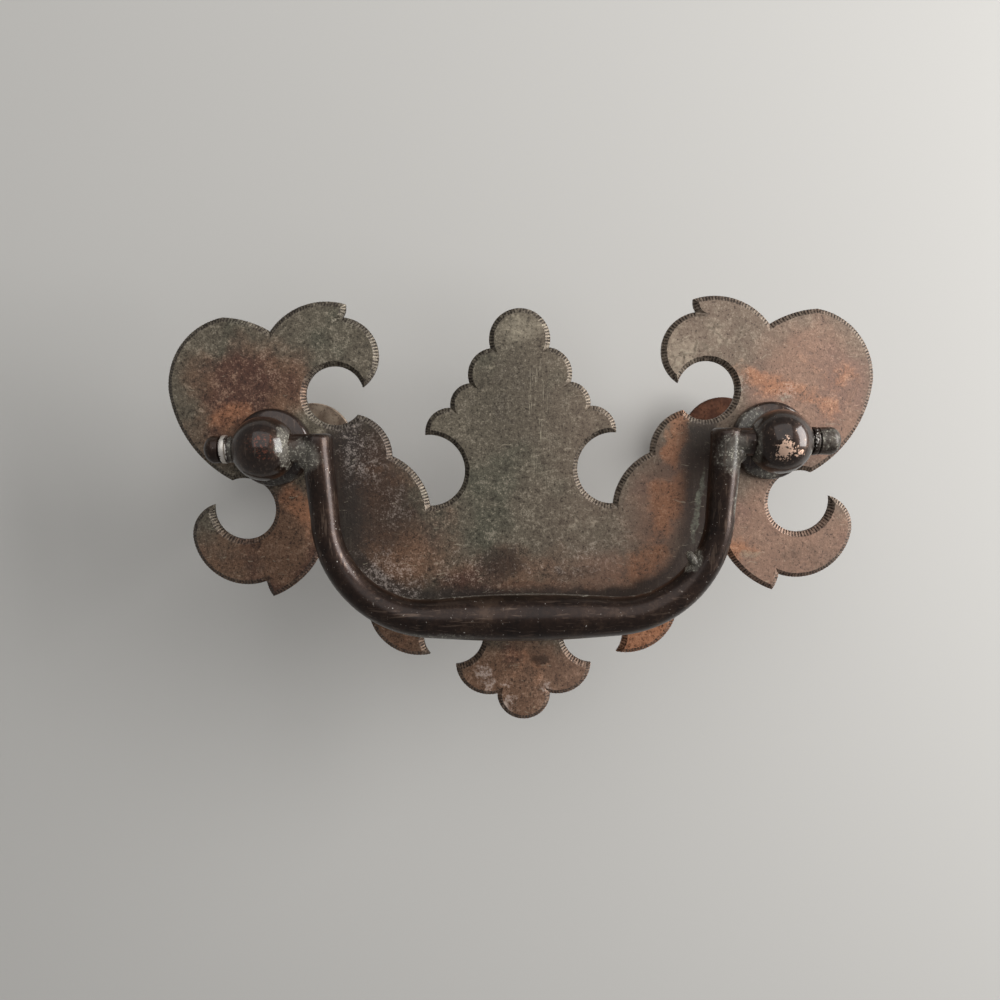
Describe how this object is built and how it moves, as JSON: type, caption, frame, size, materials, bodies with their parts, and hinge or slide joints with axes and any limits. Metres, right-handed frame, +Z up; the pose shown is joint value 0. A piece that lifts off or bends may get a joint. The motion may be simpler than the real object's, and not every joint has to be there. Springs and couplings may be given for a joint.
{
  "type": "bail pull",
  "caption": "Drawer pull with a pierced, scrolled flat backplate, ball posts with shanks and nuts, and a swelling bail handle that swings in the posts.",
  "frame": {"origin": "midway between the two posts, on the backplate's back face where it meets the drawer front", "axes": "+X along the drawer front to the right, +Y into the drawer, +Z up; the front of the pull faces -Y"},
  "size_m": [0.1082, 0.0409, 0.0661],
  "materials": {
    "plate_brass": "aged, dull",
    "post_brass": "aged, worn bright",
    "washer_brass": "aged, dull",
    "nut_brass": "aged, dull",
    "bail_brass": "dark, polished by use"
  },
  "bodies": {
    "fixed": {"backplate": "plate_brass", "post_left": "post_brass", "post_right": "post_brass", "washer_left": "washer_brass", "washer_right": "washer_brass", "nut_left": "nut_brass", "nut_right": "nut_brass"},
    "bail": {"bail": "bail_brass"}
  },
  "joints": [
    {"name": "bail_swing", "type": "hinge", "parent": "fixed", "child": "bail", "pos_m": [0, -0.0062, 0], "axis": [-1, 0, 0], "range_deg": [-2, 185]}
  ]
}
